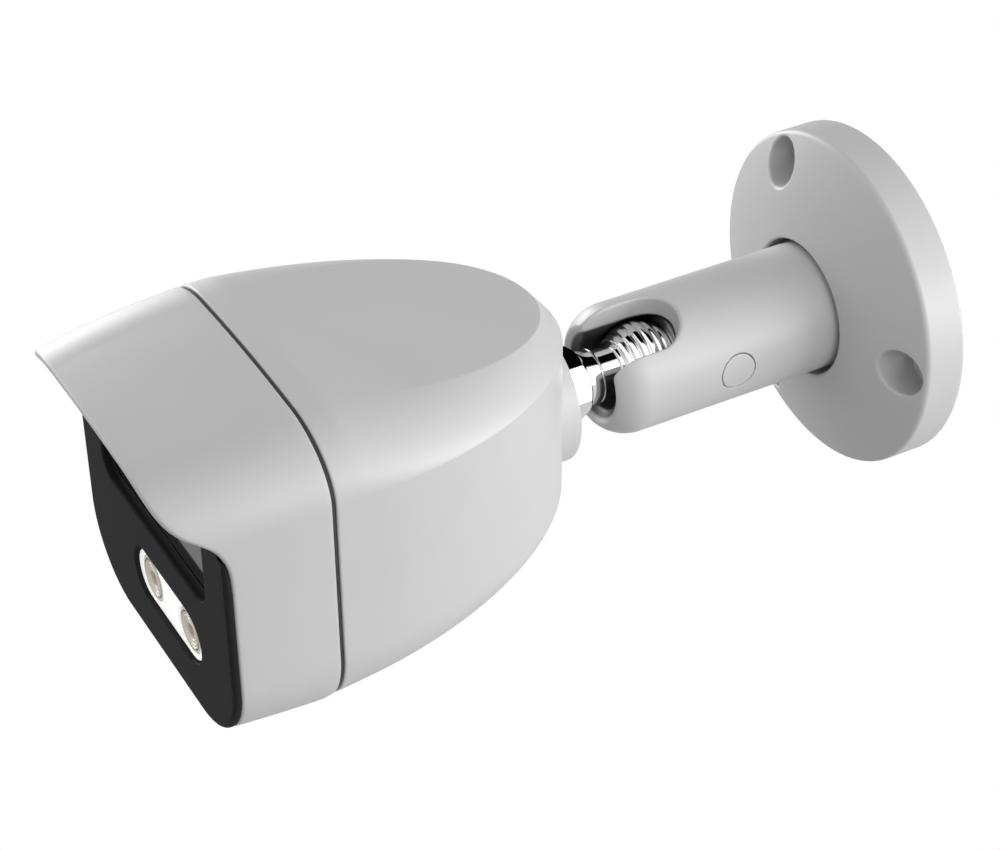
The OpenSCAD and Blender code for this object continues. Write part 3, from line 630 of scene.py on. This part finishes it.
def housing_seal():
    near, far = SEAM_Y - SEAL_T / 2, SEAM_Y + SEAL_T / 2
    rows = [(near, WALL), (near, 0.55), (near + 0.15, 0.4), (far - 0.15, 0.4), (far, 0.55), (far, WALL)]
    return loft([closed(half_section(flank(d), d, inset=e)) for d, e in rows])


add_piece("housing_seal_skin", *housing_seal(), FINISHES["seal_rubber"], "camera",
          ["housing_seal"], "seal_rubber", weld=0.002)


# ---- face plate and lamps --------------------------------------------------

class Outline:
    """Distance from a closed outline in the XZ plane, read from a fine grid."""

    STEP = 0.25

    def __init__(self, points):
        self.low = points.min(0) - 3
        count = np.ceil((points.max(0) + 3 - self.low) / self.STEP).astype(int) + 1
        axes = [self.low[k] + self.STEP * np.arange(count[k]) for k in (0, 1)]
        x, z = np.meshgrid(*axes, indexing="ij")
        best, odd = np.full(x.shape, 1e9), np.zeros(x.shape, bool)
        for a, b in zip(points, np.roll(points, -1, 0)):
            if np.allclose(a, b):
                continue
            e = b - a
            t = np.clip(((x - a[0]) * e[0] + (z - a[1]) * e[1]) / (e @ e), 0, 1)
            best = np.minimum(best, np.hypot(x - a[0] - t * e[0], z - a[1] - t * e[1]))
            if a[1] != b[1]:
                odd ^= ((a[1] > z) != (b[1] > z)) & (x < e[0] * (z - a[1]) / e[1] + a[0])
        self.values = np.where(odd, -best, best)

    def __call__(self, x, z):
        u = np.clip((x - self.low[0]) / self.STEP, 0, self.values.shape[0] - 1.001)
        v = np.clip((z - self.low[1]) / self.STEP, 0, self.values.shape[1] - 1.001)
        i, j = u.astype(int), v.astype(int)
        u, v = u - i, v - j
        w = self.values
        return ((1 - u) * (1 - v) * w[i, j] + u * (1 - v) * w[i + 1, j]
                + (1 - u) * v * w[i, j + 1] + u * v * w[i + 1, j + 1])


def outline_at(d, inset):
    """The housing's outline at a distance from the wall, shrunk by the inset."""
    return Outline(closed(half_section(flank(d), d, inset=inset))[:, [0, 2]])


band_outline = outline_at((FRONT_Y + FACE_FRONT) / 2, 0)
inner_outline = outline_at((FACE_BACK + FACE_FRONT) / 2, WALL + FACE_GAP)


FACE_ROUND, STEP_ROUND, LEDGE_ROUND, LAMP_ROUND = 0.9, 0.35, 0.25, 0.5


def face_plate(p):
    x, d, z = p.T
    inner = both(inner_outline(x, z), slab(d, FACE_BACK, FACE_FRONT))
    below = part_of(VISOR[0, 1] - 1, VISOR[0, 1], z)
    near = visor_reach(z + FACE_GAP) + FACE_GAP * below
    band = both(band_outline(x, z), slab(d, near, FACE_FRONT))
    plate = np.minimum(inner, band)
    outer = np.where(near < FACE_FRONT, band_outline(x, z), inner_outline(x, z))
    plate = both(plate, both(outer, d - FACE_FRONT, FACE_ROUND))

    def window(grow):
        return rounded(x, z - WINDOW_Z, WINDOW_X + grow, WINDOW_HALF_H + grow, WINDOW_ROUND + grow)

    plate = without(plate, both(window(0), STEP_Y - d), STEP_ROUND)
    plate = without(plate, window(-LEDGE_IN), LEDGE_ROUND)
    plate = without(plate, both(window(-FACE_GAP), d - GLASS_Y))
    lamps = rounded(x - LAMP_SIDE, z + LAMP_DROP, LAMP_X, LAMP_HALF_H, LAMP_HALF_H - 0.01)
    return without(plate, lamps, LAMP_ROUND)


def lamp_panel(p):
    x, d, z = p.T

    def area(grow):
        return rounded(x - LAMP_SIDE, z + LAMP_DROP, LAMP_X + grow, LAMP_HALF_H + grow,
                       LAMP_HALF_H + grow - 0.01)

    back = FACE_BACK - PANEL_FLANGE
    body = either(both(both(area(-PANEL_INSET), d - PANEL_Y, 0.2), back - d),
                  both(area(PANEL_LIP), slab(d, back, FACE_BACK)))
    q = np.hypot(np.abs(x - LAMP_SIDE) - LAMP_PITCH, z + LAMP_DROP)
    return without(body, q - LAMP_R, 0.12)


for name, field, box, step, slot in (
        ("face_plate", face_plate, ((-35, 150.5, -34), (35, 157.25, 32)), 0.36, "black_plastic"),
        # The lamp panel's finish glows faintly: painted light.
        ("lamp_panel", lamp_panel, ((-14, 150, -25), (21, 156, -9)), 0.22, "white_panel")):
    points, faces, normals = net(field, *box, step)
    add_piece(name + "_skin", points, faces, FINISHES[slot], "camera", [name], slot, normals)


CUP_RINGS, RING_H, BOWL_H = 3, 0.3, 0.2
GROOVE_W, GROOVE_H, BEZEL_BEVEL = 0.4, 1.6, 0.2


def reflector_cup(side):
    """A nearly flat dish of fine rings round the emitter's well, inside a bevelled bezel."""
    wide = LAMP_R - 0.1
    t = np.linspace(0, 1, 90)
    rings = 0.5 - 0.5 * np.cos(t * CUP_RINGS * 2 * math.pi)
    dish = np.stack([mix(DISH_R[1] - GROOVE_W, DISH_R[0], t),
                     CUP_RIM - BOWL_H * t - RING_H * rings], -1)
    well = [(DISH_R[0], CUP_RIM - DISH_H), (DISH_R[0] + 0.02, CUP_FLOOR + 1)]
    outside = [(DISH_R[0], CUP_FLOOR), (wide, CUP_FLOOR), (wide, CUP_RIM - 0.3)]
    bezel = [(wide - 0.1, CUP_RIM - BEZEL_BEVEL), (DISH_R[1] + 0.15, CUP_RIM), (DISH_R[1], CUP_RIM - 0.05),
             (DISH_R[1] - 0.05, CUP_RIM - GROOVE_H), (DISH_R[1] - GROOVE_W + 0.02, CUP_RIM - GROOVE_H)]
    centre = (LAMP_SIDE + side * LAMP_PITCH, -LAMP_DROP)
    return revolve(np.concatenate([outside, bezel, dish, well]), 96, centre)


cups = add_piece("lamp_reflectors_skin", *join(reflector_cup(-1), reflector_cup(1)),
                 FINISHES["reflector"], "camera", ["lamp_reflectors"], "reflector", weld=0.001)
sharpen(cups, 40)

# The pieces inside, the window's glass and the emitters keep their CAD shapes.
for slot, names in {
        "steel": ("swivel_screw", "swivel_washer", "arm_insert", "clamp_plunger", "lock_screw",
                  "housing_screws", "face_screws", "bracket_screws", "board_screws", "lens_lock_ring"),
        "seal_rubber": ("stud_o_ring", "cable_grommet", "window_seal"),
        "smoked_glass": ("window_glass",), "lamp_die": ("lamp_emitters",),
        "board_white": ("lamp_board",), "black_plastic": ("lens_barrel", "lens_holder"),
        "lens_glass": ("lens_front_glass", "lens_rear_glass"), "filter_glass": ("ir_filter",),
        "chip": ("image_sensor", "processor"), "circuit_board": ("sensor_board", "power_board"),
        "aluminium": ("main_bracket",), "brass": ("board_posts",),
        "socket_plastic": ("cable_socket",)}.items():
    for name in names:
        for material_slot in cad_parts[name].material_slots:
            material_slot.material = FINISHES[slot]


# ---- studio ----------------------------------------------------------------

def add_floor(drop=0.11, reach=6.0, in_mirrors=0.45):
    """A wide pale floor, white where it is seen and partly white in reflections."""
    mesh = bpy.data.meshes.new("floor")
    bm = bmesh.new()
    bmesh.ops.create_grid(bm, x_segments=24, y_segments=24, size=reach)
    for v in bm.verts:
        v.co.z = cad_low[2] - drop
    bm.to_mesh(mesh)
    bm.free()
    floor = bpy.data.objects.new("floor", mesh)
    bpy.context.scene.collection.objects.link(floor)
    paper = make_material("floor_paper", (0.35, 0.35, 0.35), 0.9, tint=0.002, mottle=4,
                          bump=0.0)
    nodes, links = paper.node_tree.nodes, paper.node_tree.links
    white, seen, share, mixed = (
        nodes.new("ShaderNode" + kind) for kind in ("Emission", "LightPath", "Math", "MixShader"))
    share.operation = "MULTIPLY_ADD"
    share.inputs[1].default_value = in_mirrors
    links.new(seen.outputs["Is Glossy Ray"], share.inputs[0])
    links.new(seen.outputs["Is Camera Ray"], share.inputs[2])
    links.new(share.outputs["Value"], mixed.inputs["Fac"])
    links.new(nodes["Principled BSDF"].outputs["BSDF"], mixed.inputs[1])
    links.new(white.outputs["Emission"], mixed.inputs[2])
    links.new(mixed.outputs["Shader"], nodes["Material Output"].inputs["Surface"])
    floor.data.materials.append(paper)


def add_light(name, azimuth, elevation, distance, size, power, target=(0, -0.1, 0)):
    """A square soft light, placed as the views' cameras are: azimuth 0 is in front."""
    a, e = math.radians(azimuth), math.radians(elevation)
    back = np.array([math.sin(a) * math.cos(e), -math.cos(a) * math.cos(e), math.sin(e)])
    light = bpy.data.lights.new(name, "AREA")
    light.size, light.energy = size, power
    lamp = bpy.data.objects.new(name, light)
    lamp.location = np.array(target) + back * distance
    lamp.rotation_mode = "QUATERNION"
    lamp.rotation_quaternion = Vector(-back).to_track_quat("-Z", "Y")
    bpy.context.scene.collection.objects.link(lamp)


def add_camera():
    """The view of the photograph: turn, height and roll in degrees, place in metres."""
    azimuth, elevation, roll = math.radians(61.19), math.radians(36.59), math.radians(-0.54)
    back = np.array([math.sin(azimuth) * math.cos(elevation),
                     -math.cos(azimuth) * math.cos(elevation), math.sin(elevation)])
    level = np.array([math.cos(azimuth), math.sin(azimuth), 0])
    rise = np.cross(back, level)
    right = math.cos(roll) * level + math.sin(roll) * rise
    up = -math.sin(roll) * level + math.cos(roll) * rise
    data = bpy.data.cameras.new("camera")
    data.lens, data.sensor_width = 95.3, 36
    data.clip_start, data.clip_end = 0.02, 40
    camera = bpy.data.objects.new("camera", data)
    matrix = Matrix([[right[k], up[k], back[k], 0] for k in range(3)] + [[0, 0, 0, 1]])
    matrix.translation = (0.35973, -0.28171, 0.30037)
    camera.matrix_world = matrix
    bpy.context.scene.collection.objects.link(camera)
    bpy.context.scene.camera = camera


def add_world(sky, mirrored, dark_towards, dark_cosines):
    """An even sky.  Reflections see it brighter, with a dark screen in one direction."""
    world = bpy.data.worlds.new("studio")
    world.use_nodes = True
    nodes, links = world.node_tree.nodes, world.node_tree.links
    where, dot = nodes.new("ShaderNodeTexCoord"), nodes.new("ShaderNodeVectorMath")
    dot.operation = "DOT_PRODUCT"
    dot.inputs[1].default_value = dark_towards
    screen, seen = nodes.new("ShaderNodeMapRange"), nodes.new("ShaderNodeLightPath")
    screen.inputs["From Min"].default_value, screen.inputs["From Max"].default_value = dark_cosines
    screen.inputs["To Min"].default_value, screen.inputs["To Max"].default_value = mirrored, 0
    level = nodes.new("ShaderNodeMix")
    level.inputs["A"].default_value = sky
    links.new(where.outputs["Generated"], dot.inputs[0])
    links.new(dot.outputs["Value"], screen.inputs["Value"])
    links.new(screen.outputs["Result"], level.inputs["B"])
    links.new(seen.outputs["Is Glossy Ray"], level.inputs["Factor"])
    nodes["Background"].inputs["Color"].default_value = (1, 1, 1, 1)
    links.new(level.outputs["Result"], nodes["Background"].inputs["Strength"])
    bpy.context.scene.world = world


bpy.context.scene.view_settings.view_transform = "Standard"
add_world(0.69, 1.15, (-0.6, 0.39, 0.70), (0.62, 0.68))
add_floor()
add_light("back_right", 140, -2, 1.3, 0.9, 19.5)
add_light("left", -83, 4, 1.3, 0.9, 17)
add_light("right", 108, 28, 1.3, 0.9, 4.6)
add_camera()
